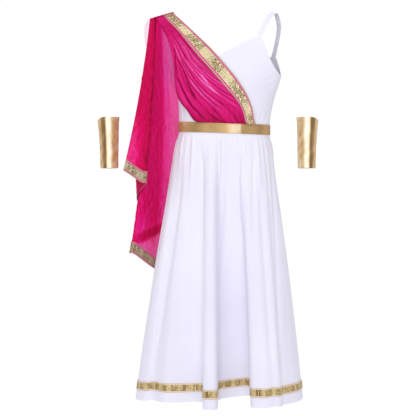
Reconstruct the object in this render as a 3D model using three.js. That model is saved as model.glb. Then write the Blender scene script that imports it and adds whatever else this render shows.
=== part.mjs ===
// Greek princess costume: a one-shoulder dress with a gathered drape, a hanging cape and two cuffs.
// Millimetres, +Z up, the front towards -Y. The origin is level with the shoulders, on the centre line.
// Every piece is a cloth wall: a grid of points, thickened along its own normals.
import * as THREE from 'three';

// Driving dimensions
const CLOTH = 1.4;
const CHIFFON = 1.0;
const TRIM = 1.0;
const FOIL = 1.4;
const SEAM_GAP = 0.3;
const LAYER_GAP = 0.4;
const WAIST_HEIGHT = -303;
const WAIST_SLOPE = -0.0356;
const WAIST_DIP = 0.05;
const WAISTBAND_WIDTH = 26;
const HEM_HEIGHT = -1003;
const HEM_TRIM_TOP = 48;
const HEM_TRIM_BOTTOM = 25;
const STRAP_WIDTH = 13;
const STRAP_END = 0.0025;
const CAPE_TRIM_LENGTH = 30;
const SHOULDER_SEAM = { left: -184, right: -132, leftHeight: -13.5, rightHeight: 0.5 };
const DRAPE_TUCK = 4;
const CAPE_TUCK = 3.1;
const CUFF_LENGTH = 132;
const CUFF_TOP = -274;
const CUFF_DIP = 8;
const CUFF_AXIS = -42.5;

// Sections of the worn form: the middle of the body, its half width and its half depth at each height
const FIGURE = [
  { height: 20, centre: 0, halfWidth: 200, halfDepth: 2 },
  { height: 0, centre: 0, halfWidth: 195, halfDepth: 3 },
  { height: -40, centre: 3, halfWidth: 178, halfDepth: 33 },
  { height: -75, centre: 5, halfWidth: 164, halfDepth: 52 },
  { height: -120, centre: 9, halfWidth: 146, halfDepth: 73 },
  { height: -170, centre: 9.5, halfWidth: 137.5, halfDepth: 84 },
  { height: -230, centre: 4.5, halfWidth: 123.5, halfDepth: 82 },
  { height: -290, centre: 0, halfWidth: 117, halfDepth: 78 },
  { height: -340, centre: 0, halfWidth: 117, halfDepth: 78 },
];

// Top edge of the bodice. Turn runs from the right side (0) by the front (90) to the left (180) and the back
const TOP_EDGE = [
  { turn: 0, height: -171 },
  { turn: 11.8, height: -170 },
  { turn: 30.5, height: -154 },
  { turn: 42.7, height: -128 },
  { turn: 49.2, height: -105 },
  { turn: 57.6, height: -73.5 },
  { turn: 62.5, height: -70.6 },
  { turn: 76, height: -90 },
  { turn: 90, height: -110 },
  { turn: 105, height: -131 },
  { turn: 122, height: -152 },
  { turn: 142, height: -171 },
  { turn: 160, height: -183 },
  { turn: 180, height: -187 },
  { turn: 205, height: -186 },
  { turn: 235, height: -177 },
  { turn: 265, height: -160 },
  { turn: 290, height: -141 },
  { turn: 312, height: -118 },
  { turn: 320.8, height: -111 },
  { turn: 328.6, height: -113 },
  { turn: 339.3, height: -138 },
  { turn: 352, height: -163 },
  { turn: 360, height: -171 },
];

// Middle line of the shoulder strap, from the front edge over the shoulder to the back edge
const STRAP = [
  { x: 87.2, y: -43.9, z: -72, heading: 5, slope: -3 },
  { x: 96.4, y: -36, z: -52, heading: 7, slope: -4 },
  { x: 107.3, y: -23, z: -31, heading: 8, slope: -5 },
  { x: 119, y: -10, z: -11, heading: 3, slope: -5 },
  { x: 130, y: 0, z: -2, heading: 0, slope: -4 },
  { x: 137, y: 9, z: -9, heading: -10, slope: -4 },
  { x: 142, y: 16, z: -29, heading: -24, slope: -3 },
  { x: 142.5, y: 22, z: -46, heading: -34, slope: -1 },
  { x: 137, y: 31, z: -79, heading: -36, slope: 0 },
  { x: 129.7, y: 40, z: -112, heading: -32, slope: -2 },
];

// Hem of the skirt in plan, one row for each turn of the cloth: where it leaves the waist, where it ends
// on the hem, and how far the hem is lifted there
const SKIRT_FOLDS = [
  { turn: 0, x: 204, y: 0, lift: 0 },
  { turn: 14, x: 188, y: -52, lift: 0 },
  { turn: 26, x: 160, y: -92, lift: 0 },
  { turn: 34, x: 145, y: -108, lift: 0 },
  { turn: 38, x: 138, y: -134, lift: 0 },
  { turn: 46, x: 122, y: -143, lift: 2 },
  { turn: 54, x: 104, y: -153, lift: 0 },
  { turn: 62, x: 82, y: -152, lift: 0 },
  { turn: 68, x: 65, y: -138, lift: 0 },
  { turn: 72, x: 68, y: -98, lift: 8 },
  { turn: 76, x: 65, y: -62, lift: 15 },
  { turn: 84, x: 28, y: -50, lift: 11 },
  { turn: 91, x: 0, y: -54, lift: 8 },
  { turn: 95, x: -13, y: -62, lift: 7 },
  { turn: 98, x: -19, y: -86, lift: 5 },
  { turn: 101, x: -19, y: -130, lift: 2 },
  { turn: 104, x: -22, y: -172, lift: 0 },
  { turn: 109, x: -37, y: -183, lift: 0 },
  { turn: 114, x: -54, y: -170, lift: 0 },
  { turn: 117, x: -52, y: -126, lift: 3 },
  { turn: 121, x: -60, y: -100, lift: 6 },
  { turn: 132, x: -116, y: -100, lift: 5 },
  { turn: 143, x: -154, y: -94, lift: 4 },
  { turn: 153, x: -184, y: -60, lift: 4 },
  { turn: 162, x: -203, y: -58, lift: 2 },
  { turn: 171, x: -223, y: -32, lift: 0 },
  { turn: 180, x: -229, y: 0, lift: 0 },
  { turn: 198, x: -208, y: 68, lift: 0 },
  { turn: 212, x: -172, y: 118, lift: 0 },
  { turn: 223, x: -132, y: 124, lift: 4 },
  { turn: 233, x: -106, y: 160, lift: 0 },
  { turn: 243, x: -72, y: 164, lift: 0 },
  { turn: 252, x: -52, y: 118, lift: 5 },
  { turn: 262, x: -20, y: 108, lift: 6 },
  { turn: 271, x: 4, y: 152, lift: 0 },
  { turn: 281, x: 36, y: 172, lift: 0 },
  { turn: 291, x: 64, y: 146, lift: 0 },
  { turn: 302, x: 86, y: 108, lift: 5 },
  { turn: 316, x: 122, y: 118, lift: 4 },
  { turn: 330, x: 158, y: 124, lift: 0 },
  { turn: 345, x: 190, y: 72, lift: 0 },
  { turn: 360, x: 204, y: 0, lift: 0 },
];
const SKIRT_COLUMNS_PER_FOLD = 3;
const SKIRT_LEVELS = [0.02, 0.08, 0.16, 0.27, 0.4, 0.53, 0.66, 0.8];
const SKIRT_BELL = 0.06;
const GATHER_COUNT = 34;
const GATHER_HEIGHT = 2.2;

// The front drape, one row for each level: its free left edge, the inner edge of its trim, its right edge
const DRAPE = [
  { at: 0, leftX: -176, leftZ: -16, trimX: -158, trimZ: -11, edgeX: -133, edgeZ: -4 },
  { at: 0.16, leftX: -153, leftZ: -60, trimX: -115, trimZ: -60, edgeX: -80, edgeZ: -57 },
  { at: 0.33, leftX: -137, leftZ: -104, trimX: -72, trimZ: -116, edgeX: -38, edgeZ: -100 },
  { at: 0.5, leftX: -129, leftZ: -148, trimX: -31, trimZ: -165, edgeX: -2, edgeZ: -142 },
  { at: 0.67, leftX: -126, leftZ: -195, trimX: 5, trimZ: -207, edgeX: 33, edgeZ: -186 },
  { at: 0.84, leftX: -112, leftZ: -240, trimX: 37, trimZ: -247, edgeX: 61, edgeZ: -233 },
  { at: 1, leftX: -67, leftZ: -289, trimX: 57, trimZ: -293, edgeX: 81, edgeZ: -294 },
];
// Ridges of the front drape, each by how far it lies from the free left edge (0) to the trim (1) at the
// level where they start to fan out. Below it they spread, and most of them run out under the trim
const DRAPE_FOLDS = [
  { across: 0.03, height: 4 },
  { across: 0.105, height: 6 },
  { across: 0.2, height: 7 },
  { across: 0.32, height: 6 },
  { across: 0.45, height: 7 },
  { across: 0.58, height: 5 },
  { across: 0.71, height: 6 },
  { across: 0.84, height: 5 },
];
const DRAPE_FAN_LEVEL = 0.4;
const DRAPE_FAN_RATE = 1.85;
const DRAPE_COLUMNS = 29;
const DRAPE_TRIM_COLUMNS = 3;
const DRAPE_ROWS = 14;
const DRAPE_RIDGE_WIDTH = 0.042;
const DRAPE_STAND_OFF = 3.2;
const DRAPE_EXTRA_WIDTH = 22;

// Fold lines of the cape, from its free front edge, to and fro, to its free back edge behind the skirt
const CAPE_LINES = [
  { topX: -193, topY: -11, midX: -213, midY: -36, midZ: -180, hemX: -258, hemY: -70, hemZ: -414, round: 0 },
  { topX: -183, topY: -9, midX: -188, midY: -31, midZ: -232, hemX: -206, hemY: -50, hemZ: -445, round: -4 },
  { topX: -187, topY: 0, midX: -222, midY: -3, midZ: -240, hemX: -229, hemY: 4, hemZ: -481, round: 0 },
  { topX: -164, topY: 10, midX: -148, midY: 84, midZ: -200, hemX: -176, hemY: 144, hemZ: -566, round: 8 },
  { topX: -176, topY: 1, midX: -193, midY: 3, midZ: -240, hemX: -242, hemY: -8, hemZ: -627, round: -4 },
  { topX: -167, topY: -2, midX: -160, midY: 34, midZ: -240, hemX: -188, hemY: 64, hemZ: -669, round: 0 },
  { topX: -150, topY: 3, midX: -103, midY: 94, midZ: -200, hemX: -128, hemY: 140, hemZ: -708, round: 0 },
];
const CAPE_COLUMNS_PER_TURN = 4;
const CAPE_ROWS = 13;
const CAPE_ROUND_TOP = 1;

// Half sizes of a cuff at its upper and its lower end, and where its middle stands
const CUFF_SECTIONS = [
  { at: 0, centre: 258.6, halfWidth: 27, halfDepth: 21 },
  { at: 0.1, centre: 258.4, halfWidth: 26.2, halfDepth: 20.5 },
  { at: 0.5, centre: 257, halfWidth: 23.6, halfDepth: 19 },
  { at: 1, centre: 256.4, halfWidth: 22.2, halfDepth: 18 },
];
const CUFF_COLUMNS = 26;
const CUFF_ROWS = 5;

const radians = THREE.MathUtils.degToRad;

// Reads every column of a table at a position on its key column, on a smooth curve through the rows
function readTable(rows, key, position) {
  const last = rows.length - 1;
  const rising = rows[last][key] > rows[0][key];
  let row = 0;
  while (row < last - 1 && (rising ? position > rows[row + 1][key] : position < rows[row + 1][key])) {
    row += 1;
  }
  const before = rows[Math.max(row - 1, 0)];
  const start = rows[row];
  const end = rows[row + 1];
  const after = rows[Math.min(row + 2, last)];
  const span = end[key] - start[key];
  const t = THREE.MathUtils.clamp((position - start[key]) / span, 0, 1);
  const result = {};
  for (const name of Object.keys(start)) {
    const startSlope = span * (end[name] - before[name]) / (end[key] - before[key]);
    const endSlope = span * (after[name] - start[name]) / (after[key] - start[key]);
    const rise = end[name] - start[name];
    const curve = (startSlope + endSlope - 2 * rise) * t + 3 * rise - 2 * startSlope - endSlope;
    result[name] = start[name] + (curve * t + startSlope) * t;
  }
  return result;
}

// A point of the worn form at a turn round the body and a height
function onFigure(turn, height) {
  const section = readTable(FIGURE, 'height', height);
  const x = section.centre + section.halfWidth * Math.cos(radians(turn));
  const y = -section.halfDepth * Math.sin(radians(turn));
  return new THREE.Vector3(x, y, height);
}

// The slanting line of the waist seam
function waistHeight(x, y) {
  return WAIST_HEIGHT + WAIST_SLOPE * x + WAIST_DIP * y;
}

// The slope of the left shoulder seam
function shoulderHeight(x) {
  const seam = SHOULDER_SEAM;
  const t = (x - seam.left) / (seam.right - seam.left);
  return THREE.MathUtils.lerp(seam.leftHeight, seam.rightHeight, t);
}

// Normals of a grid of points, grid[column][row], with the columns closed into a ring or left open
function normalsOf(grid, ring) {
  const columns = grid.length;
  const rows = grid[0].length;
  return grid.map((column, i) => column.map((point, j) => {
    const left = ring ? (i + columns - 1) % columns : Math.max(i - 1, 0);
    const right = ring ? (i + 1) % columns : Math.min(i + 1, columns - 1);
    const along = grid[right][j].clone().sub(grid[left][j]);
    const down = column[Math.min(j + 1, rows - 1)].clone().sub(column[Math.max(j - 1, 0)]);
    return along.cross(down).normalize();
  }));
}

// Moves each point of a grid along its normal by a distance worked out from its column and row
function displaced(grid, ring, distance) {
  const normals = normalsOf(grid, ring);
  return grid.map((column, i) => column.map((point, j) => (
    point.clone().addScaledVector(normals[i][j], distance(i, j))
  )));
}

// A closed wall between two distances from a grid of points
function wall(grid, normals, inner, outer, ring = false) {
  const columns = grid.length;
  const rows = grid[0].length;
  const positions = [];
  for (const distance of [outer, inner]) {
    for (let i = 0; i < columns; i += 1) {
      for (let j = 0; j < rows; j += 1) {
        positions.push(...grid[i][j].clone().addScaledVector(normals[i][j], distance).toArray());
      }
    }
  }
  const over = (i, j) => (i % columns) * rows + j;
  const under = (i, j) => columns * rows + over(i, j);
  const triangles = [];
  const quad = (a, b, c, d) => triangles.push(a, b, c, a, c, d);
  const spans = ring ? columns : columns - 1;
  for (let i = 0; i < spans; i += 1) {
    for (let j = 0; j < rows - 1; j += 1) {
      quad(over(i, j), over(i + 1, j), over(i + 1, j + 1), over(i, j + 1));
      quad(under(i, j), under(i, j + 1), under(i + 1, j + 1), under(i + 1, j));
    }
    quad(over(i, 0), under(i, 0), under(i + 1, 0), over(i + 1, 0));
    quad(over(i, rows - 1), over(i + 1, rows - 1), under(i + 1, rows - 1), under(i, rows - 1));
  }
  if (!ring) {
    const end = columns - 1;
    for (let j = 0; j < rows - 1; j += 1) {
      quad(over(0, j), over(0, j + 1), under(0, j + 1), under(0, j));
      quad(over(end, j), under(end, j), under(end, j + 1), over(end, j + 1));
    }
  }
  const geometry = new THREE.BufferGeometry();
  geometry.setAttribute('position', new THREE.Float32BufferAttribute(positions, 3));
  geometry.setIndex(triangles);
  geometry.computeVertexNormals();
  return geometry;
}

// Some columns and rows of a ring, with its two cut ends drawn in by half a seam gap
function cutPanel(grid, firstColumn, lastColumn, firstRow = 0, lastRow = grid[0].length - 1) {
  const count = lastColumn - firstColumn;
  const pick = (i) => grid[(firstColumn + i) % grid.length].slice(firstRow, lastRow + 1);
  const panel = Array.from({ length: count + 1 }, (_, i) => pick(i).map((point) => point.clone()));
  const drawIn = (end, next) => end.forEach((point, j) => {
    const step = next[j].clone().sub(point).normalize();
    point.addScaledVector(step, SEAM_GAP / 2);
  });
  drawIn(panel[0], panel[1]);
  drawIn(panel[count], panel[count - 1]);
  return panel;
}

// The same columns and rows of the ring's normals
function cutNormals(normals, firstColumn, lastColumn, firstRow = 0, lastRow = normals[0].length - 1) {
  const count = lastColumn - firstColumn;
  return Array.from({ length: count + 1 }, (_, i) => (
    normals[(firstColumn + i) % normals.length].slice(firstRow, lastRow + 1)
  ));
}

function mesh(name, geometry, material) {
  const piece = new THREE.Mesh(geometry, material);
  piece.name = name;
  return piece;
}

const MATERIALS = {
  dress: new THREE.MeshStandardMaterial({ color: 0xf2f1fa, roughness: 0.75 }),
  chiffon: new THREE.MeshStandardMaterial({ color: 0xd60a66, roughness: 0.7 }),
  brocade: new THREE.MeshStandardMaterial({ color: 0xc2b06a, roughness: 0.5, metalness: 0.4 }),
  foil: new THREE.MeshStandardMaterial({ color: 0xc09a55, roughness: 0.35, metalness: 0.8 }),
};

// Bodice: two panels from the waist seam to the slanting neckline, joined at the sides
function makeBodice() {
  const columnStep = 8;
  const rows = 8;
  const grid = [];
  let leftColumn = 0;
  TOP_EDGE.slice(0, -1).forEach((row, index) => {
    const next = TOP_EDGE[index + 1];
    const steps = Math.ceil((next.turn - row.turn) / columnStep);
    if (row.turn === 180) {
      leftColumn = grid.length;
    }
    for (let step = 0; step < steps; step += 1) {
      const turn = THREE.MathUtils.lerp(row.turn, next.turn, step / steps);
      const top = THREE.MathUtils.lerp(row.height, next.height, step / steps);
      const waist = onFigure(turn, WAIST_HEIGHT);
      const bottom = waistHeight(waist.x, waist.y) + SEAM_GAP / 2;
      grid.push(Array.from({ length: rows + 1 }, (_, j) => (
        onFigure(turn, THREE.MathUtils.lerp(top, bottom, j / rows))
      )));
    }
  });
  const normals = normalsOf(grid, true);
  const panel = (name, first, last) => {
    const points = cutPanel(grid, first, last);
    const directions = cutNormals(normals, first, last);
    return mesh(name, wall(points, directions, 0, CLOTH), MATERIALS.dress);
  };
  return [panel('bodice_front', 0, leftColumn), panel('bodice_back', leftColumn, grid.length)];
}

// Shoulder strap: a flat band laid along its middle line
function makeStrap() {
  const rows = 24;
  const middle = new THREE.CatmullRomCurve3(STRAP.map((row) => new THREE.Vector3(row.x, row.y, row.z)));
  const table = STRAP.map((row, index) => ({ ...row, at: index / (STRAP.length - 1) }));
  const grid = [-0.5, 0, 0.5].map((side) => Array.from({ length: rows + 1 }, (_, j) => {
    const t = THREE.MathUtils.lerp(STRAP_END, 1 - STRAP_END, j / rows);
    const row = readTable(table, 'at', t);
    const across = new THREE.Vector3(Math.cos(radians(row.heading)), Math.sin(radians(row.heading)), 0);
    across.z = row.slope / STRAP_WIDTH;
    return middle.getPoint(t).addScaledVector(across.normalize(), side * STRAP_WIDTH);
  }));
  return mesh('shoulder_strap', wall(grid, normalsOf(grid, false), 0, CLOTH), MATERIALS.dress);
}

// Waistband: a plain ring over the waist seam
function makeWaistband() {
  const columns = 72;
  const clearance = CLOTH + LAYER_GAP + 0.2;
  const grid = Array.from({ length: columns }, (_, i) => {
    const turn = 360 * i / columns;
    return [0.5, 0, -0.5].map((share) => {
      const waist = onFigure(turn, WAIST_HEIGHT);
      const height = waistHeight(waist.x, waist.y) + share * WAISTBAND_WIDTH;
      return onFigure(turn, height);
    });
  });
  const normals = normalsOf(grid, true);
  return mesh('waistband', wall(grid, normals, clearance, clearance + CLOTH, true), MATERIALS.foil);
}

// Skirt: folds run from the waist to the hem, with small gathers below the waistband
function makeSkirt() {
  const hemLength = WAIST_HEIGHT - HEM_HEIGHT;
  const levels = [0, ...SKIRT_LEVELS, 1 - HEM_TRIM_TOP / hemLength, 1 - HEM_TRIM_BOTTOM / hemLength, 1];
  const yoke = SKIRT_LEVELS[0];
  const grid = [];
  let leftColumn = 0;
  SKIRT_FOLDS.slice(0, -1).forEach((fold, index) => {
    if (fold.turn === 180) {
      leftColumn = grid.length;
    }
    for (let step = 0; step < SKIRT_COLUMNS_PER_FOLD; step += 1) {
      const next = SKIRT_FOLDS[index + 1];
      const turn = THREE.MathUtils.lerp(fold.turn, next.turn, step / SKIRT_COLUMNS_PER_FOLD);
      const hem = readTable(SKIRT_FOLDS, 'turn', turn);
      const waist = onFigure(turn, WAIST_HEIGHT);
      const seam = waistHeight(waist.x, waist.y) - SEAM_GAP / 2;
      grid.push(levels.map((level) => {
        const free = Math.max(level - yoke, 0) / (1 - yoke);
        const flare = free + SKIRT_BELL * Math.sin(Math.PI * free);
        const gather = GATHER_HEIGHT * Math.sin(Math.PI * Math.min(free / 0.32, 1)) ** 2;
        const ripple = 1 + gather * Math.cos(radians(GATHER_COUNT * turn)) / waist.length();
        const x = THREE.MathUtils.lerp(waist.x * ripple, hem.x, flare);
        const y = THREE.MathUtils.lerp(waist.y * ripple, hem.y, flare);
        return new THREE.Vector3(x, y, THREE.MathUtils.lerp(seam, HEM_HEIGHT + hem.lift, level));
      }));
    }
  });
  const normals = normalsOf(grid, true);
  const lastRow = levels.length - 1;
  const panel = (name, first, last, rows, layer, material) => {
    const points = cutPanel(grid, first, last, ...rows);
    const directions = cutNormals(normals, first, last, ...rows);
    return mesh(name, wall(points, directions, ...layer), material);
  };
  const cloth = [0, CLOTH];
  const skin = [CLOTH + LAYER_GAP, CLOTH + LAYER_GAP + TRIM];
  const trimRows = [lastRow - 2, lastRow - 1];
  const end = grid.length;
  return [
    panel('skirt_front', 0, leftColumn, [0, lastRow], cloth, MATERIALS.dress),
    panel('skirt_back', leftColumn, end, [0, lastRow], cloth, MATERIALS.dress),
    panel('hem_trim_front', 0, leftColumn, trimRows, skin, MATERIALS.brocade),
    panel('hem_trim_back', leftColumn, end, trimRows, skin, MATERIALS.brocade),
  ];
}

// A point in front of the worn form, which the drape clears
function inFrontOfFigure(x, height) {
  const section = readTable(FIGURE, 'height', height);
  const side = (x - section.centre) / (section.halfWidth + DRAPE_EXTRA_WIDTH);
  const y = -section.halfDepth * Math.sqrt(Math.max(1 - side * side, 0));
  return new THREE.Vector3(x, y - DRAPE_STAND_OFF, height);
}

// Front drape: gathered at the left shoulder, folded across the chest and sewn in at the waist
function makeDrape() {
  const columns = DRAPE_COLUMNS + DRAPE_TRIM_COLUMNS;
  const flat = Array.from({ length: columns + 1 }, (_, i) => {
    const onTrim = 1 - Math.min(i / DRAPE_TRIM_COLUMNS, 1);
    const across = Math.min((columns - i) / DRAPE_COLUMNS, 1);
    return Array.from({ length: DRAPE_ROWS + 1 }, (__, j) => {
      const row = readTable(DRAPE, 'at', j / DRAPE_ROWS);
      const gatheredX = THREE.MathUtils.lerp(row.leftX, row.trimX, across);
      const gatheredZ = THREE.MathUtils.lerp(row.leftZ, row.trimZ, across);
      const x = THREE.MathUtils.lerp(gatheredX, row.edgeX, onTrim);
      const z = THREE.MathUtils.lerp(gatheredZ, row.edgeZ, onTrim);
      const point = inFrontOfFigure(x, Math.min(z, shoulderHeight(x) - DRAPE_TUCK));
      const waistbandTop = waistHeight(point.x, point.y) + WAISTBAND_WIDTH / 2 + LAYER_GAP;
      return j === DRAPE_ROWS ? point.setZ(waistbandTop) : point;
    });
  });
  const grid = displaced(flat, false, (i, j) => {
    const across = (columns - i) / DRAPE_COLUMNS;
    const down = j / DRAPE_ROWS;
    const spread = Math.exp(DRAPE_FAN_RATE * Math.max(down - DRAPE_FAN_LEVEL, 0));
    const fade = Math.min(down / 0.3, 1) * (1 - Math.max(down - 0.8, 0) / 0.2);
    return DRAPE_FOLDS.reduce((sum, fold) => (
      sum + fade * fold.height * Math.exp(-(((across / spread - fold.across) / DRAPE_RIDGE_WIDTH) ** 2))
    ), 0);
  });
  const normals = normalsOf(grid, false);
  const trimPoints = grid.slice(0, DRAPE_TRIM_COLUMNS + 1);
  const trimNormals = normals.slice(0, DRAPE_TRIM_COLUMNS + 1);
  const skin = [CHIFFON + LAYER_GAP, CHIFFON + LAYER_GAP + TRIM];
  return [
    mesh('drape_front', wall(grid, normals, 0, CHIFFON), MATERIALS.chiffon),
    mesh('drape_trim', wall(trimPoints, trimNormals, ...skin), MATERIALS.brocade),
  ];
}

// Shoulder band: a short arched strip that holds the drape in front and the cape behind
function makeShoulderBand() {
  const halfDepth = 17;
  const arch = 3;
  const columns = 6;
  const rows = 8;
  const grid = Array.from({ length: columns + 1 }, (_, i) => {
    const x = THREE.MathUtils.lerp(SHOULDER_SEAM.left, SHOULDER_SEAM.right, i / columns);
    return Array.from({ length: rows + 1 }, (__, j) => {
      const side = 2 * j / rows - 1;
      return new THREE.Vector3(x, side * halfDepth, shoulderHeight(x) - CLOTH - arch * side * side);
    });
  });
  return mesh('shoulder_band', wall(grid, normalsOf(grid, false), 0, CLOTH), MATERIALS.chiffon);
}

// A point of one fold line of the cape, on a curve through its top, its middle and its hem
function capeLinePoint(line, share) {
  const topZ = shoulderHeight(line.topX) - CAPE_TUCK;
  const middle = (line.midZ - topZ) / (line.hemZ - topZ);
  const atTop = (share - middle) * (share - 1) / middle;
  const atMiddle = share * (share - 1) / (middle * (middle - 1));
  const atHem = share * (share - middle) / (1 - middle);
  const x = line.topX * atTop + line.midX * atMiddle + line.hemX * atHem;
  const y = line.topY * atTop + line.midY * atMiddle + line.hemY * atHem;
  return new THREE.Vector3(x, y, THREE.MathUtils.lerp(topZ, line.hemZ, share));
}

// A path through the points of the fold lines in which each sharp fold is a small rounded turn. A line's
// round is half the fold's width at the hem, and its sign says to which side the cloth turns
function roundedFolds(points, lines, share) {
  const path = [];
  points.forEach((point, i) => {
    const { round } = lines[i];
    if (round === 0) {
      path.push(point);
      return;
    }
    const arriving = point.clone().sub(points[i - 1]).setZ(0).normalize();
    const sideways = new THREE.Vector3(-arriving.y, arriving.x, 0);
    const offset = THREE.MathUtils.lerp(Math.sign(round) * CAPE_ROUND_TOP, round, share);
    path.push(point.clone().addScaledVector(sideways, -offset));
    path.push(point.clone().addScaledVector(sideways, offset));
  });
  return new THREE.CatmullRomCurve3(path, false, 'centripetal');
}

// Cape: one sheet, folded to and fro between the shoulder and its slanting hem
function makeCape() {
  const shares = Array.from({ length: CAPE_ROWS + 1 }, (_, j) => j / CAPE_ROWS);
  const hem = 1;
  const lines = [...CAPE_LINES].reverse();
  const sections = [...shares, hem].map((share, j) => {
    const points = lines.map((line) => {
      const aboveTrim = 1 + CAPE_TRIM_LENGTH / line.hemZ;
      return capeLinePoint(line, j > CAPE_ROWS ? hem : share * aboveTrim);
    });
    return roundedFolds(points, lines, share);
  });
  const columns = CAPE_COLUMNS_PER_TURN * (sections[0].points.length - 1);
  const grid = Array.from({ length: columns + 1 }, (_, i) => (
    sections.map((section) => section.getPoint(i / columns))
  ));
  const normals = normalsOf(grid, false);
  const trimPoints = grid.map((column) => column.slice(CAPE_ROWS));
  const trimNormals = normals.map((column) => column.slice(CAPE_ROWS));
  const skin = [CHIFFON + LAYER_GAP, CHIFFON + LAYER_GAP + TRIM];
  return [
    mesh('cape', wall(grid, normals, 0, CHIFFON), MATERIALS.chiffon),
    mesh('cape_trim', wall(trimPoints, trimNormals, ...skin), MATERIALS.brocade),
  ];
}

// Cuff: a tapered tube whose upper edge dips on the outer side. Side is 1 on the right, -1 on the left
function makeCuff(name, side) {
  const grid = Array.from({ length: CUFF_COLUMNS }, (_, i) => {
    const turn = radians(360 * i / CUFF_COLUMNS);
    const top = CUFF_TOP - CUFF_DIP * Math.max(side * Math.cos(turn), 0) ** 3;
    return Array.from({ length: CUFF_ROWS + 1 }, (__, j) => {
      const section = readTable(CUFF_SECTIONS, 'at', j / CUFF_ROWS);
      const x = CUFF_AXIS + side * section.centre + section.halfWidth * Math.cos(turn);
      const y = -section.halfDepth * Math.sin(turn);
      return new THREE.Vector3(x, y, THREE.MathUtils.lerp(top, CUFF_TOP - CUFF_LENGTH, j / CUFF_ROWS));
    });
  });
  return mesh(name, wall(grid, normalsOf(grid, true), 0, FOIL, true), MATERIALS.foil);
}

const group = new THREE.Group();
group.add(...makeBodice());
group.add(makeStrap());
group.add(makeWaistband());
group.add(...makeSkirt());
group.add(...makeDrape());
group.add(makeShoulderBand());
group.add(...makeCape());
group.add(makeCuff('cuff_left', -1));
group.add(makeCuff('cuff_right', 1));

export default group;
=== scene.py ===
# Greek princess costume: a one-shoulder dress with a gathered drape, a hanging cape and two cuffs.
# The frame is in metres, +Z up, the front towards -Y. The tables below are in millimetres.
import math

import bpy
import numpy as np
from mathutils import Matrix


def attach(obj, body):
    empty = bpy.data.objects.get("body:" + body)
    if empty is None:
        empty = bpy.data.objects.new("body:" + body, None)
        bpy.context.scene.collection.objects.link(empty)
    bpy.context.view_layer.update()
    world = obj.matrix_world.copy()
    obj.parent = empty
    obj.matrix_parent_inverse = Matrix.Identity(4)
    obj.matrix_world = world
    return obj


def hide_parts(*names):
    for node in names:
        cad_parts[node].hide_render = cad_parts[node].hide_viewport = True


MM = 0.001

# Cloth, as distances from its solid's inner face, and the gaps between what is sewn together
DRESS_LAYER = (0.2, 1.1)
CHIFFON_LAYER = (0.3, 0.7)
DRESS_TRIM_LAYER = (1.5, 2.5)
CHIFFON_TRIM_LAYER = (1.1, 2.0)
WAISTBAND_LAYER = (2.1, 3.3)
CUFF_LAYER = (0.2, 1.1)
LOOP_LAYER = (0, 0.25)
CORD_HEIGHT = 0.9
HEM_CORD_HEIGHT = 0.4
SEAM_GAP = 0.1
LAYER_GAP = 0.4

# Driving sizes, the same as the solids'
WAIST_HEIGHT = -303
WAIST_SLOPE = -0.0356
WAIST_DIP = 0.05
WAISTBAND_WIDTH = 26
HEM_HEIGHT = -1003
SKIRT_LENGTH = WAIST_HEIGHT - HEM_HEIGHT
HEM_TRIM_TOP = 48
HEM_TRIM_BOTTOM = 25
STRAP_WIDTH = 13
DRAPE_TUCK = 4
DRAPE_FAN_LEVEL = 0.4
DRAPE_FAN_RATE = 1.85
CAPE_TUCK = 3.1
CAPE_TRIM_LENGTH = 30
SHOULDER_SEAM = {"left": -184, "right": -132, "left_height": -13.5, "right_height": 0.5}
CUFF_LENGTH = 132
CUFF_TOP = -274
CUFF_DIP = 8
CUFF_AXIS = -42.5

# The photograph's width in pixels, and the millimetres that a pixel stands for
PHOTO_WIDTH = 416
PIXEL = 2.6
# The studio's light, and how bright its backdrop looks to the camera
STUDIO_STRENGTH = 1.88
BACKDROP = 0.54

# The triangles of a stitch, which has two ends, a ridge, two sides and an underside
STITCH_FACES = ((0, 1, 2), (0, 2, 3), (0, 3, 5), (0, 5, 1), (4, 2, 1), (4, 3, 2), (4, 5, 3), (4, 1, 5))


def table(names, *rows):
    """Named columns, each an array with one number a row."""
    return dict(zip(names.split(), np.array(rows, float).T))


FIGURE = table(
    "height centre half_width half_depth",
    (20, 0, 200, 2), (0, 0, 195, 3), (-40, 3, 178, 33), (-75, 5, 164, 52), (-120, 9, 146, 73),
    (-170, 9.5, 137.5, 84), (-230, 4.5, 123.5, 82), (-290, 0, 117, 78), (-340, 0, 117, 78),
)
TOP_EDGE = table(
    "turn height",
    (0, -171), (11.8, -170), (30.5, -154), (42.7, -128), (49.2, -105), (57.6, -73.5), (62.5, -70.6), (76, -90),
    (90, -110), (105, -131), (122, -152), (142, -171), (160, -183), (180, -187), (205, -186), (235, -177),
    (265, -160), (290, -141), (312, -118), (320.8, -111), (328.6, -113), (339.3, -138), (352, -163),
    (360, -171),
)
STRAP = table(
    "x y z heading slope",
    (87.2, -43.9, -72, 5, -3), (96.4, -36, -52, 7, -4), (107.3, -23, -31, 8, -5), (119, -10, -11, 3, -5),
    (130, 0, -2, 0, -4), (137, 9, -9, -10, -4), (142, 16, -29, -24, -3), (142.5, 22, -46, -34, -1),
    (137, 31, -79, -36, 0), (129.7, 40, -112, -32, -2),
)
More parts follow.
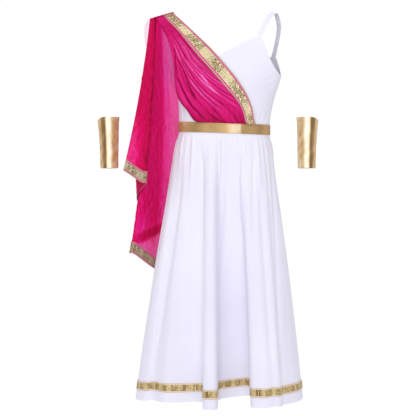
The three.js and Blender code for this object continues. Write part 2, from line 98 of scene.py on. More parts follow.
SKIRT_FOLDS = table(
    "turn x y lift",
    (0, 204, 0, 0), (14, 188, -52, 0), (26, 160, -92, 0), (34, 145, -108, 0), (38, 138, -134, 0),
    (46, 122, -143, 2), (54, 104, -153, 0), (62, 82, -152, 0), (68, 65, -138, 0), (72, 68, -98, 8),
    (76, 65, -62, 15), (84, 28, -50, 11), (91, 0, -54, 8), (95, -13, -62, 7), (98, -19, -86, 5),
    (101, -19, -130, 2), (104, -22, -172, 0), (109, -37, -183, 0), (114, -54, -170, 0), (117, -52, -126, 3),
    (121, -60, -100, 6), (132, -116, -100, 5), (143, -154, -94, 4), (153, -184, -60, 4), (162, -203, -58, 2),
    (171, -223, -32, 0), (180, -229, 0, 0), (198, -208, 68, 0), (212, -172, 118, 0), (223, -132, 124, 4),
    (233, -106, 160, 0), (243, -72, 164, 0), (252, -52, 118, 5), (262, -20, 108, 6), (271, 4, 152, 0),
    (281, 36, 172, 0), (291, 64, 146, 0), (302, 86, 108, 5), (316, 122, 118, 4), (330, 158, 124, 0),
    (345, 190, 72, 0), (360, 204, 0, 0),
)
# Softer folds of the skirt: from one turn and level to another, their bow, width and height
SKIRT_CREASES = table(
    "turn level end_turn end_level bow width height",
    (16, 0.05, 35, 0.85, 3, 9, -4), (47, 0.12, 46, 0.95, 4, 10, -4), (53, 0.04, 66, 0.6, -3, 8, -5.5),
    (69, 0.1, 73, 0.4, 0, 7, 4.5), (85, 0.03, 97, 0.72, -3, 8, -4.5), (108, 0.02, 108, 0.7, 0, 10, 4),
    (118, 0.03, 120, 0.9, 0, 8, -4), (145, 0.1, 157, 0.92, -5, 11, -5.5), (133, 0.25, 130, 0.9, 4, 16, 4),
    (170, 0.1, 174, 0.8, 3, 11, -4), (195, 0.08, 200, 0.85, 4, 12, -5), (222, 0.04, 228, 0.7, -4, 10, 4.5),
    (243, 0.1, 250, 0.9, 3, 9, -4.5), (268, 0.03, 262, 0.7, 0, 9, -4), (285, 0.05, 281, 0.8, 4, 11, 4.5),
    (303, 0.1, 306, 0.9, -4, 10, -4.5), (326, 0.06, 322, 0.8, 3, 11, 4), (343, 0.15, 346, 0.9, -3, 10, -4),
)
BODICE_CREASES = table(
    "turn height end_turn end_height bow width relief",
    (28, -170, 47, -184, 3, 4, -1.3), (22, -183, 44, -200, 2, 5, -1.1), (24, -252, 30, -292, 2, 4, -1.4),
    (36, -258, 40, -292, -1, 4, -1.2), (50, -262, 49, -292, 1, 4, -1.0), (14, -246, 12, -292, -2, 5, -1.3),
    (168, -212, 150, -290, 4, 6, -1.5), (205, -230, 208, -292, 3, 6, -1.4), (248, -240, 244, -292, -3, 6, -1.5),
    (292, -236, 297, -292, 3, 6, -1.4), (330, -190, 318, -216, 3, 5, -1.2), (340, -246, 336, -292, 2, 5, -1.3),
)
DRAPE = table(
    "at left_x left_z trim_x trim_z edge_x edge_z",
    (0, -176, -16, -158, -11, -133, -4), (0.16, -153, -60, -115, -60, -80, -57),
    (0.33, -137, -104, -72, -116, -38, -100), (0.5, -129, -148, -31, -165, -2, -142),
    (0.67, -126, -195, 5, -207, 33, -186), (0.84, -112, -240, 37, -247, 61, -233),
    (1, -67, -289, 57, -293, 81, -294),
)
# The deepest creases of the drape: where each lies across it at levels down it, its width and height
DRAPE_CREASES = (
    ([0.2, 0.44, 0.58, 0.66, 0.8, 0.9, 0.97], [0.28, 0.07, 0.05, 0.12, 0.16, 0.15, 0.25], 0.016, -4.5),
    ([0.38, 0.53, 0.68, 0.82], [0.15, 0.24, 0.28, 0.31], 0.014, -5.5),
    ([0.4, 0.57, 0.65, 0.74, 0.85, 0.91], [0.26, 0.33, 0.42, 0.47, 0.57, 0.69], 0.015, -6.5),
    ([0.28, 0.4, 0.46, 0.56], [0.68, 0.64, 0.7, 0.81], 0.014, -4.5),
    ([0.52, 0.64, 0.76], [0.64, 0.67, 0.76], 0.03, 5),
    ([0.8, 0.845, 0.89], [0.64, 0.73, 0.96], 0.014, -4.5),
    ([0.87, 0.91, 0.95], [0.43, 0.5, 0.58], 0.014, -6),
    ([0.9, 0.95, 1.0], [0.31, 0.45, 0.68], 0.013, -5.5),
    ([0.14, 0.3, 0.44], [0.5, 0.45, 0.46], 0.018, -4),
    ([0.12, 0.26, 0.4], [0.8, 0.84, 0.9], 0.016, -3.5),
)
CAPE_LINES = table(
    "top_x top_y mid_x mid_y mid_z hem_x hem_y hem_z round",
    (-193, -11, -213, -36, -180, -258, -70, -414, 0), (-183, -9, -188, -31, -232, -206, -50, -445, -4),
    (-187, 0, -222, -3, -240, -229, 4, -481, 0), (-164, 10, -148, 84, -200, -176, 144, -566, 8),
    (-176, 1, -193, 3, -240, -242, -8, -627, -4), (-167, -2, -160, 34, -240, -188, 64, -669, 0),
    (-150, 3, -103, 94, -200, -128, 140, -708, 0),
)
# Painted light and shade along the cape's width, from the free back edge over each fold to the front edge:
# paler where a single layer lets light through, darker on the turned-away back of the front fold
CAPE_PAINTED_LIGHT = table(
    "turn tone",
    (0, 1.0), (0.86, 0.98), (1.08, 0.58), (2, 0.54), (3, 0.46), (5, 0.42), (6.8, 0.38), (7.1, 0.15), (7.7, 0.2),
    (8.1, 0.33), (9, 0.34),
)
# The loose loop of cloth beside the cape's shoulder: its outer edge and where it is tucked behind the cape
LOOP = table(
    "at edge_x edge_z tuck_x tuck_z",
    (0, -186, -16.5, -180, -16.5), (0.12, -199, -19, -183, -25), (0.35, -206.5, -34, -187, -41),
    (0.6, -208.5, -54, -190, -58), (0.85, -206.5, -77, -194, -78), (1, -204, -91, -200, -92),
)
CUFF_SECTIONS = table(
    "at centre half_width half_depth",
    (0, 258.6, 27, 21), (0.1, 258.4, 26.2, 20.5), (0.5, 257, 23.6, 19), (1, 256.4, 22.2, 18),
)
# Painted reflection on the cuffs' foil at turns from their front towards the dress: a dark and a bright upright
# stripe, as if it mirrored the studio
CUFF_PAINTED_REFLECTION = table(
    "turn tone",
    (-270, 0.5), (-90, 0.64), (-62, 0.66), (-46, 0.6), (-39, 0.12), (-18, 0.03), (-12, 0.8), (-4, 0.98),
    (12, 0.97), (22, 0.7), (34, 0.58), (66, 0.74), (90, 0.66), (270, 0.5),
)

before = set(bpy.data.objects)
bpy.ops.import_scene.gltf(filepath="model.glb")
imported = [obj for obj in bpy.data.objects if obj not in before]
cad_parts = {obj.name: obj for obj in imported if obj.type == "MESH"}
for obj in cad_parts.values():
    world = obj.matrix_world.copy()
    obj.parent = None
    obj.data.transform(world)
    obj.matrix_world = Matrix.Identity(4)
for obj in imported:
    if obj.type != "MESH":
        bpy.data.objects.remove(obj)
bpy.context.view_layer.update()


def smooth(t):
    """A soft step from 0 to 1."""
    t = np.clip(t, 0, 1)
    return t * t * (3 - 2 * t)


def blend(start, end, share):
    return start + (end - start) * share


def hump(distance, width):
    """1 at no distance, falling softly towards 0 beyond the width."""
    return np.exp(-((distance / width) ** 2))


def read(rows, key, at):
    """Every column of a table at positions on its key column, on a smooth curve through the rows."""
    keys = rows[key]
    at = np.asarray(at, float)
    sign = 1 if keys[-1] > keys[0] else -1
    row = np.searchsorted(sign * keys[1:-1], sign * at, side="left")
    end = row + 1
    before = np.maximum(row - 1, 0)
    after = np.minimum(row + 2, len(keys) - 1)
    span = keys[end] - keys[row]
    t = np.clip((at - keys[row]) / span, 0, 1)
    result = {}
    for name, values in rows.items():
        start_slope = span * (values[end] - values[before]) / (keys[end] - keys[before])
        end_slope = span * (values[after] - values[row]) / (keys[after] - keys[row])
        rise = values[end] - values[row]
        curve = (start_slope + end_slope - 2 * rise) * t + 3 * rise - 2 * start_slope - end_slope
        result[name] = values[row] + (curve * t + start_slope) * t
    return result


def on_figure(turn, height):
    """A point of the worn form at a turn round the body and a height."""
    section = read(FIGURE, "height", height)
    x = section["centre"] + section["half_width"] * np.cos(np.radians(turn))
    y = -section["half_depth"] * np.sin(np.radians(turn))
    return np.stack(np.broadcast_arrays(x, y, height), -1).astype(float)


def waist_height(x, y):
    return WAIST_HEIGHT + WAIST_SLOPE * x + WAIST_DIP * y


def shoulder_height(x):
    seam = SHOULDER_SEAM
    share = (x - seam["left"]) / (seam["right"] - seam["left"])
    return blend(seam["left_height"], seam["right_height"], share)


def normals_of(grid, ring=False):
    """Normals of a grid of points, grid[column, row], with the columns closed into a ring or left open."""
    columns, rows = np.arange(grid.shape[0]), np.arange(grid.shape[1])
    if ring:
        along = np.roll(grid, -1, 0) - np.roll(grid, 1, 0)
    else:
        along = grid[np.minimum(columns + 1, columns[-1])] - grid[np.maximum(columns - 1, 0)]
    down = grid[:, np.minimum(rows + 1, rows[-1])] - grid[:, np.maximum(rows - 1, 0)]
    normal = np.cross(along, down)
    return normal / np.maximum(np.linalg.norm(normal, axis=2, keepdims=True), 1e-9)


def moved_out(grid, distance, ring=False):
    return grid + normals_of(grid, ring) * np.asarray(distance, float)[..., None]


def run_lengths(grid, ring):
    """How far along and how far down the cloth each point lies, in metres."""
    closed = np.concatenate([grid, grid[:1]]) if ring else grid
    along = np.zeros(closed.shape[:2])
    along[1:] = np.cumsum(np.linalg.norm(np.diff(closed, axis=0), axis=2), 0)
    down = np.zeros(closed.shape[:2])
    down[:, 1:] = np.cumsum(np.linalg.norm(np.diff(closed, axis=1), axis=2), 1)
    return np.stack([along, down], -1) * MM


def wall(name, grid, layer, materials, ring=False, normals=None, across_share=False, tone=0.5):
    """A closed wall of cloth between two distances from a grid of points, with a material for its outer and
    one for its inner face. Its UV map is in metres of cloth, or for a trim it holds metres along and the
    share across. Painted light says how pale the cloth is painted at each point, as painted light and shade."""
    normals = normals_of(grid, ring) if normals is None else normals
    columns, rows = grid.shape[:2]
    inner, outer = (np.asarray(distance, float)[..., None] for distance in layer)
    points = np.concatenate([(grid + normals * outer).reshape(-1, 3), (grid + normals * inner).reshape(-1, 3)])
    flat = run_lengths(grid, ring)
    if across_share:
        flat[..., 0] = flat[:, rows // 2, 0][:, None]
        flat[..., 1] = np.linspace(0, 1, rows)[None]
    spans = columns if ring else columns - 1
    i, j = (index.ravel() for index in np.meshgrid(np.arange(spans), np.arange(rows - 1), indexing="ij"))
    edge, last = np.arange(spans), rows - 1

    def over(a, b):
        return a * rows + b

    def under(a, b):
        return (columns + 1) * rows + over(a, b)

    quads = [
        (over(i, j), over(i + 1, j), over(i + 1, j + 1), over(i, j + 1)),
        (under(i, j), under(i, j + 1), under(i + 1, j + 1), under(i + 1, j)),
        (over(edge, 0), under(edge, 0), under(edge + 1, 0), over(edge + 1, 0)),
        (over(edge, last), over(edge + 1, last), under(edge + 1, last), under(edge, last)),
    ]
    if not ring:
        side, end = np.arange(rows - 1), columns - 1
        quads.append((over(0, side), over(0, side + 1), under(0, side + 1), under(0, side)))
        quads.append((over(end, side), under(end, side), under(end, side + 1), over(end, side + 1)))
    corners = np.concatenate([np.stack(np.broadcast_arrays(*quad), -1) for quad in quads])
    face, rest = np.divmod(corners, (columns + 1) * rows)
    column, row = np.divmod(rest, rows)
    indices = face * columns * rows + (column % columns) * rows + row
    mesh = bpy.data.meshes.new(name)
    mesh.from_pydata((points * MM).tolist(), [], indices.tolist())
    layer_of_uv = mesh.uv_layers.new(name="cloth")
    layer_of_uv.data.foreach_set("uv", flat[np.minimum(column, len(flat) - 1), row].ravel())
    painted_lights = np.broadcast_to(tone, grid.shape[:2]).ravel().astype(np.float32)
    mesh.attributes.new("tone", "FLOAT", "POINT").data.foreach_set("value", np.concatenate([painted_lights, painted_lights]))
    if len(materials) > 1:
        inner_faces = np.zeros(len(indices), np.int32)
        inner_faces[len(quads[0][0]) : 2 * len(quads[0][0])] = 1
        mesh.polygons.foreach_set("material_index", inner_faces)
    return piece(name, mesh, materials)


def add_object(name, data):
    made = bpy.data.objects.new(name, data)
    bpy.context.scene.collection.objects.link(made)
    return made


def piece(name, mesh, materials, sharp_degrees=50):
    mesh.shade_smooth()
    mesh.set_sharp_from_angle(angle=math.radians(sharp_degrees))
    for material in materials:
        mesh.materials.append(material)
    return add_object(name, mesh)


def creases(u, v, lines, scale):
    """Soft ridges and troughs along bowed lines on a sheet. Each line has its two ends, its bow, its width
    and its height, and scale is the size in millimetres of a step of u and of v."""
    total = np.zeros(np.broadcast(u, v).shape)
    for u0, v0, u1, v1, bow, width, height in zip(*lines.values()):
        step_u, step_v = (u1 - u0) * scale[0], (v1 - v0) * scale[1]
        length = math.hypot(step_u, step_v)
        from_u, from_v = (u - u0) * scale[0], (v - v0) * scale[1]
        along = (from_u * step_u + from_v * step_v) / length**2
        aside = (from_u * step_v - from_v * step_u) / length - bow * 4 * along * (1 - along)
        ends = smooth(along / 0.25) * smooth((1 - along) / 0.25)
        total += height * ends * hump(aside, width)
    return total


def random_ridges(position, fade, count, low, high, width, height, seed, join=np.add):
    """Ridges of uneven place, width and height side by side. Fade is how strong each is at every point, as a
    function of the ridge's own random reach. Joined by their maximum, they meet in sharp valleys."""
    chance = np.random.default_rng(seed)
    total = np.zeros(np.shape(position))
    for index in range(count):
        centre = blend(low, high, (index + 0.5 + chance.uniform(-0.32, 0.32)) / count)
        own_width = width * chance.uniform(0.7, 1.35)
        own_height = height * chance.uniform(0.45, 1.2)
        reach = chance.uniform(0, 1)
        total = join(total, own_height * fade(reach) * hump(position - centre, own_width))
    return total


def crinkle(along, down, wavelength, seed, waves=7):
    """Uneven fine waves that run down the cloth, from about -1 to 1. Along and down are in metres."""
    chance = np.random.default_rng(seed)
    total = np.zeros(np.broadcast(along, down).shape)
    for _ in range(waves):
        own = wavelength * MM * chance.uniform(0.6, 1.7)
        drift = own * chance.uniform(0.4, 1.3)
        wander = drift * np.sin(2 * np.pi * down / chance.uniform(0.07, 0.25) + chance.uniform(0, 7))
        total += np.sin(2 * np.pi * (along + wander) / own + chance.uniform(0, 7))
    return total / math.sqrt(waves)


def cut_panel(grid, normals, first, last, rows=slice(None)):
    """Some columns and rows of a ring and its normals, with the two cut ends drawn in by half a seam gap."""
    columns = np.arange(first, last + 1) % len(grid)
    panel, directions = grid[columns][:, rows].copy(), normals[columns][:, rows]
    for end, near in ((0, 1), (-1, -2)):
        step = panel[near] - panel[end]
        panel[end] += step / np.linalg.norm(step, axis=1, keepdims=True) * SEAM_GAP / 2
    return panel, directions


class Nodes:
    """The nodes of a material or of the world. Numbers and sockets may be mixed in every call."""

    def __init__(self, owner):
        owner.use_nodes = True
        self.tree = owner.node_tree

    def put(self, value, socket):
        if isinstance(value, bpy.types.NodeSocket):
            self.tree.links.new(value, socket)
        elif value is not None:
            socket.default_value = value

    def node(self, kind, inputs=(), **settings):
        made = self.tree.nodes.new("ShaderNode" + kind)
        for name, value in settings.items():
            setattr(made, name, value)
        for key, value in dict(inputs).items():
            self.put(value, made.inputs[key])
        return made

    def math(self, operation, *values):
        return self.node("Math", enumerate(values), operation=operation).outputs[0]

    def flat(self):
        """The cloth's own coordinates."""
        uv = self.node("UVMap", uv_map="cloth").outputs[0]
        split = self.node("SeparateXYZ", {0: uv})
        return split.outputs[0], split.outputs[1]

    def noise(self, scale, detail=3, vector=None):
        if vector is None:
            vector = self.node("TexCoord").outputs["Object"]
        inputs = {"Vector": vector, "Scale": scale, "Detail": detail}
        return self.node("TexNoise", inputs).outputs["Fac"]

    def stretched_noise(self, along_scale, down_scale, detail=3):
        along, down = self.flat()
        inputs = {0: self.math("MULTIPLY", along, along_scale), 1: self.math("MULTIPLY", down, down_scale)}
        return self.noise(1, detail, self.node("CombineXYZ", inputs).outputs[0])

    def between(self, share, low, high):
        """Runs a share from 0 to 1 where a value passes from low to high."""
        inputs = {"Value": share, "From Min": low, "From Max": high}
        return self.node("MapRange", inputs).outputs[0]

    def mix(self, share, first, second):
        made = self.node("Mix", data_type="RGBA")
        self.put(share, made.inputs[0])
        self.put(first, made.inputs[6])
        self.put(second, made.inputs[7])
        return made.outputs[2]

    def ramp(self, share, stops):
        """A colour that runs through stops, each a position and its red, green and blue."""
        made = self.node("ValToRGB", {0: share})
        elements = made.color_ramp.elements
        while len(elements) < len(stops):
            elements.new(0.5)
        for element, (position, rgb) in zip(elements, stops):
            element.position = position
            element.color = colour(*rgb)
        return made.outputs[0]

    def bump(self, height, distance, strength=1.0, normal=None):
        inputs = {"Height": height, "Distance": distance, "Strength": strength, "Normal": normal}
        return self.node("Bump", inputs).outputs[0]

    def tone(self):
        """How pale the cloth is painted: its painted light and shade."""
        return self.node("Attribute", attribute_name="tone").outputs["Fac"]

    def weave(self, pitch):
        """The threads of a plain weave, from -1 to 1."""
        along, down = self.flat()
        turns = 2 * math.pi / pitch
        across_threads = self.math("SINE", self.math("MULTIPLY", along, turns))
        return self.math("MULTIPLY", across_threads, self.math("SINE", self.math("MULTIPLY", down, turns)))


class Shader(Nodes):
    """A material and its surface."""

    def __init__(self, name, **settings):
        self.material = bpy.data.materials.new(name)
        super().__init__(self.material)
        self.surface = self.tree.nodes["Principled BSDF"]
        for socket, value in settings.items():
            self.surface.inputs[socket.replace("_", " ")].default_value = value

    def set(self, socket, value):
        self.put(value, self.surface.inputs[socket])


def colour(red, green, blue):
    return (red, green, blue, 1.0)


def make_dress_material(name, dull, bright):
    """Smooth woven polyester, with a little unevenness in its tint and a soft crumple."""
    shader = Shader(name, Roughness=0.8, Sheen_Weight=0.12, Sheen_Roughness=0.5, Specular_IOR_Level=0.2)
    tint = shader.between(shader.noise(5, 2), 0.35, 0.65)
    shader.set("Base Color", shader.mix(tint, dull, bright))
    crumple = shader.bump(shader.stretched_noise(38, 11, 2), 0.0011, 0.3)
    shader.set("Normal", shader.bump(shader.weave(0.0007), 0.00006, 0.5, crumple))
    return shader.material


def make_chiffon_material(name, cover, colours, reach=0.7, sheen=0.05):
    """Sheer crepe, painted deep or pale by its painted light. It lets more light through than it shows, as dyed
    threads do, so that what lies behind it isn't dark. Reach is the share of its cover that such light doesn't meet."""
    shader = Shader(name, Roughness=0.75, Specular_IOR_Level=0.12, Sheen_Weight=sheen, Sheen_Roughness=0.5)
    shader.surface.inputs["Sheen Tint"].default_value = colour(1.0, 0.1, 0.5)
    crepe = shader.stretched_noise(420, 70, 2)
    streaks = shader.math("MULTIPLY_ADD", shader.stretched_noise(150, 9, 3), 0.34, -0.17)
    grain = shader.math("MULTIPLY_ADD", crepe, 0.3, -0.15)
    share = shader.math("ADD", shader.tone(), shader.math("ADD", streaks, grain))
    shader.set("Base Color", shader.ramp(share, colours))
    seen = shader.math("MULTIPLY_ADD", share, -0.07 * cover, 1.04 * cover)
    light = shader.node("LightPath").outputs["Is Shadow Ray"]
    shader.set("Alpha", shader.math("MULTIPLY", seen, shader.math("MULTIPLY_ADD", light, -reach, 1.0)))
    soft = shader.bump(shader.stretched_noise(130, 6, 2), 0.0008, 0.4)
    shader.set("Normal", shader.bump(crepe, 0.0004, 0.5, soft))
    return shader.material


def make_brocade_material(name, colours, line_start, line_end, flower_pitch, cluster):
    """A woven trim: clusters of small round flowers on a plainer ground, with a coloured line and a cord
    along each edge. Colours has the line's, the cord's, the flowers' and the ground's dark and pale."""
    line, cord, motif_colour, dark, pale = (colour(*rgb) for rgb in colours)
    trim_width, thread_pitch = 0.024, 0.0011
    shader = Shader(name, Roughness=0.55, Metallic=0.12, Specular_IOR_Level=0.35)
    calc = shader.math
    along, across = shader.flat()
    from_middle = calc("ABSOLUTE", calc("SUBTRACT", across, 0.5))
    rows_across = trim_width / flower_pitch
    places = {0: calc("DIVIDE", along, flower_pitch), 1: calc("MULTIPLY", across, rows_across)}
    place = shader.node("CombineXYZ", places).outputs[0]
    cell_inputs = {"Vector": place, "Scale": 1.0, "Randomness": 0.5}
    cells = shader.node("TexVoronoi", cell_inputs, voronoi_dimensions="2D").outputs["Distance"]
    ring = calc("LESS_THAN", calc("ABSOLUTE", calc("SUBTRACT", cells, 0.3)), 0.085)
    eye = calc("LESS_THAN", cells, 0.1)
    # stems that curl between the flowers
    curls = calc("SINE", calc("MULTIPLY", shader.stretched_noise(150, 0, 2), 26.0))
    stems = calc("GREATER_THAN", calc("MULTIPLY", curls, cells), 0.36)
    motif = calc("MAXIMUM", calc("MAXIMUM", ring, eye), stems)
    wave = calc("COSINE", calc("MULTIPLY", along, 2 * math.pi / cluster))
    uneven = calc("MULTIPLY_ADD", shader.stretched_noise(30, 0, 2), 2.4, -1.2)
    dense = shader.between(calc("ADD", wave, uneven), -0.7, 0.1)
    motif = calc("MULTIPLY", motif, calc("MULTIPLY_ADD", dense, 0.85, 0.15))
    motif = calc("MULTIPLY", motif, calc("LESS_THAN", from_middle, line_start - 0.015))
    glints = shader.between(shader.noise(420, 2), 0.35, 0.65)
    ground = shader.mix(glints, dark, pale)
    woven = shader.mix(motif, ground, motif_colour)
    lined = shader.mix(calc("GREATER_THAN", from_middle, line_start), woven, line)
    shader.set("Base Color", shader.mix(calc("GREATER_THAN", from_middle, line_end), lined, cord))
    threads = calc("SINE", calc("MULTIPLY", along, 2 * math.pi / thread_pitch))
    relief = calc("MULTIPLY_ADD", motif, 0.8, calc("MULTIPLY", threads, 0.25))
    shader.set("Normal", shader.bump(relief, 0.0003, 0.7))
    return shader.material


def make_foil_material():
    """Cloth with a gold foil coating, a little uneven, painted paler where its painted light is high, as painted
    highlights and painted reflections.
    """
    shader = Shader("foil_cloth", Metallic=0.3, Specular_IOR_Level=0.3)
    patches = shader.math("MULTIPLY_ADD", shader.noise(40, 3), 0.4, -0.2)
    colours = (
        (0, (0.25, 0.15, 0.06)),
        (0.33, (0.47, 0.295, 0.12)),
        (0.55, (0.62, 0.395, 0.175)),
        (0.8, (0.88, 0.72, 0.45)),
        (1, (0.98, 0.93, 0.74)),
    )
    shader.set("Base Color", shader.ramp(shader.math("ADD", shader.tone(), patches), colours))
    shader.set("Roughness", shader.math("MULTIPLY_ADD", shader.noise(60, 3), 0.14, 0.3))
    creased = shader.bump(shader.noise(30, 3), 0.002, 0.22)
    shader.set("Normal", shader.bump(shader.weave(0.0009), 0.00005, 0.3, creased))
    return shader.material


def make_thread_material():
    shader = Shader("thread", Roughness=0.6, Specular_IOR_Level=0.3)
    twist = shader.noise(3000, 1)
    shader.set("Base Color", shader.mix(twist, colour(0.80, 0.80, 0.88), colour(0.92, 0.92, 0.97)))
    shader.set("Normal", shader.bump(twist, 0.0001, 0.5))
    return shader.material


def make_floor_material():
    shader = Shader("floor", Roughness=0.9)
    shader.set("Base Color", shader.mix(shader.noise(3, 2), colour(0.88, 0.88, 0.885), colour(0.92, 0.92, 0.92)))
    return shader.material


# The chiffons' colours along their painted light: painted shade towards 0, their own colour near 0.5 and painted
# light towards 1
CAPE_COLOURS = (
    (0, (0.14, 0.0004, 0.018)),
    (0.25, (0.50, 0.0006, 0.055)),
    (0.5, (0.70, 0.0008, 0.11)),
    (0.75, (0.86, 0.012, 0.24)),
    (1, (1.0, 0.085, 0.46)),
)
VEIL_COLOURS = ((0, (0.70, 0.02, 0.30)), (1, (0.86, 0.16, 0.55)))
DRAPE_COLOURS = (
    (0, (0.08, 0.0004, 0.015)),
    (0.25, (0.46, 0.0015, 0.08)),
    (0.5, (0.67, 0.008, 0.165)),
    (0.75, (0.77, 0.035, 0.28)),
    (1, (0.90, 0.20, 0.55)),
)
# The face and the reverse of each cloth; the dress's reverse is its inside painted grey, as painted shade where
# little light reaches
DRESS = (
    make_dress_material("dress_cloth", colour(0.85, 0.84, 0.935), colour(0.89, 0.88, 0.965)),
    make_dress_material("dress_reverse_painted_shade", colour(0.64, 0.64, 0.70), colour(0.70, 0.70, 0.76)),
)
CHIFFON = (
    make_chiffon_material("chiffon", 0.985, CAPE_COLOURS),
    make_chiffon_material("chiffon_reverse", 0.16, CAPE_COLOURS),
)
DRAPE_CHIFFON = (
    make_chiffon_material("gathered_chiffon", 0.995, DRAPE_COLOURS, 0.4, 0.15),
    make_chiffon_material("gathered_chiffon_reverse", 0.4, DRAPE_COLOURS, 0.4, 0.15),
)
VEIL = (
    make_chiffon_material("veil", 0.15, VEIL_COLOURS),
    make_chiffon_material("veil_reverse", 0.03, VEIL_COLOURS),
)
PINK_LINE = (0.70, 0.03, 0.30)
OLIVE = (0.17, 0.12, 0.03)
DRAPE_BROCADE = [
    make_brocade_material(
        "drape_trim_weave", (PINK_LINE, (0.50, 0.47, 0.24), OLIVE, (0.56, 0.45, 0.21), (0.96, 0.86, 0.55)),
        0.32, 0.41, 0.0105, 0.088,
    )
]
# The cape's trim: the drape's weave with its ground and cord painted darker and greyer, as painted shade for the
# cape's shaded side
CAPE_SHADED_BROCADE = [
    make_brocade_material(
        "cape_trim_weave_painted_shade", (PINK_LINE, (0.40, 0.37, 0.22), OLIVE, (0.33, 0.27, 0.14), (0.70, 0.62, 0.38)),
        0.32, 0.41, 0.0105, 0.05,
    )
]
HEM_COLOURS = (
    (0.86, 0.73, 0.63), (0.70, 0.54, 0.40), (0.17, 0.095, 0.02), (0.50, 0.35, 0.13), (0.88, 0.73, 0.38),
)
HEM_BROCADE = [make_brocade_material("hem_trim_weave", HEM_COLOURS, 0.36, 0.43, 0.0078, 0.026)]
FOIL = [make_foil_material()]
THREAD = [make_thread_material()]


def dress_piece(made, node, with_pieces=()):
    """Attaches a finished piece to the root body and hides the solid that it stands for."""
    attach(made, "root")
    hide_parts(node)


def stitches(name, lines, length, gap, thickness, materials):
    """Short threads laid along lines of points, which have their normals beside them."""
    points, faces = [], []
    for line, normals in lines:
        steps = np.linalg.norm(np.diff(line, axis=0), axis=1)
        run = np.concatenate([[0], np.cumsum(steps)])
        count = int((run[-1] - length) // (length + gap))
        for index in range(count):
            middle = (index + 0.5) * (length + gap) + gap / 2
            ends = [middle - length / 2, middle, middle + length / 2]
            start, centre, end = (np.array([np.interp(at, run, line[:, k]) for k in range(3)]) for at in ends)
            out = np.array([np.interp(middle, run, normals[:, k]) for k in range(3)])
            out /= np.linalg.norm(out)
            side = np.cross(end - start, out)
            side /= np.linalg.norm(side)
            base = len(points)
            lift = centre + out * thickness
            points += [start, lift + side * thickness, lift + out * thickness, lift - side * thickness, end, centre]
            faces += [[base + corner for corner in face] for face in STITCH_FACES]
    mesh = bpy.data.meshes.new(name)
    mesh.from_pydata((np.array(points) * MM).tolist(), [], faces)
    made = piece(name, mesh, materials, 80)
    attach(made, "root")


def seam_groove(columns, width=2.5):
    """How deep cloth sinks towards its two cut ends, as a share for each column of a panel."""
    index = np.arange(columns)
    return hump(np.minimum(index, columns - 1 - index), width)


dress_stitch_lines = []
foil_stitch_lines = []


def make_bodice():
    """Two panels from the waist seam to the slanting neckline, joined at the sides."""
    turns = np.concatenate([np.linspace(0, 180, 110, endpoint=False), np.linspace(180, 360, 100, endpoint=False)])
    tops = read(TOP_EDGE, "turn", turns)["height"]
    waist = on_figure(turns, WAIST_HEIGHT)
    bottoms = waist_height(waist[:, 0], waist[:, 1]) + SEAM_GAP / 2
    hem_steps = np.array([0, 0.8, 1.8, 3, 4.2, 5.2, 6, 6.8, 8, 10])
    shares = np.linspace(0, 1, 54)[1:]
    heights = np.concatenate(
        [tops[:, None] - hem_steps, blend(tops[:, None] - hem_steps[-1], bottoms[:, None], shares)], 1
    )
    grid = on_figure(turns[:, None], heights)
    relief = creases(turns[:, None], heights, BODICE_CREASES, (2.1, 1))
    grid = moved_out(grid, relief * smooth((tops[:, None] - heights) / 12), True)
    normals = normals_of(grid, True)
    below_edge = tops[:, None] - heights
    hem = 0.55 * (1 - smooth((below_edge - 4.6) / 1.4))
    groove = -0.35 * hump(below_edge - 6.2, 0.8)
    stitch_row = 4
    for name, first, last in (("bodice_front", 0, 110), ("bodice_back", 110, 210)):
        panel, directions = cut_panel(grid, normals, first, last)
        columns = np.arange(first, last + 1) % len(grid)
        sunk = 0.5 * seam_groove(len(columns))[:, None]
        outer = DRESS_LAYER[1] + hem[columns] + groove[columns] - sunk
        made = wall(name, panel, (DRESS_LAYER[0] - sunk, outer), DRESS, normals=directions)
        dress_piece(made, name)
        line = (panel + directions * outer[..., None])[2:-2, stitch_row]
        dress_stitch_lines.append((line, directions[2:-2, stitch_row]))


def make_strap():
    """A flat band along its middle line, from the front edge over the shoulder to the back edge."""
    rows = 130
    count = len(STRAP["x"])
    marked = dict(STRAP, at=np.arange(count) / (count - 1))
    at = np.linspace(0.0, 1.0, rows)
    row = read(marked, "at", at)
    middle = np.stack([row["x"], row["y"], row["z"]], -1)
    heading = np.radians(row["heading"])
    across = np.stack([np.cos(heading), np.sin(heading), row["slope"] / STRAP_WIDTH], -1)
    across /= np.linalg.norm(across, axis=1, keepdims=True)
    sides = np.array([-0.5, -0.47, -0.4, -0.33, -0.28, -0.2, 0, 0.2, 0.28, 0.33, 0.4, 0.47, 0.5])
    grid = middle[None] + across[None] * (sides * STRAP_WIDTH)[:, None, None]
    edge = 0.5 - np.abs(sides)
    outer = DRESS_LAYER[1] + 0.12 * (1 - smooth((edge - 0.1) / 0.08)) - 0.2 * (edge < 0.01)
    made = wall("shoulder_strap", grid, (DRESS_LAYER[0], np.repeat(outer[:, None], rows, 1)), DRESS)
    dress_piece(made, "shoulder_strap")


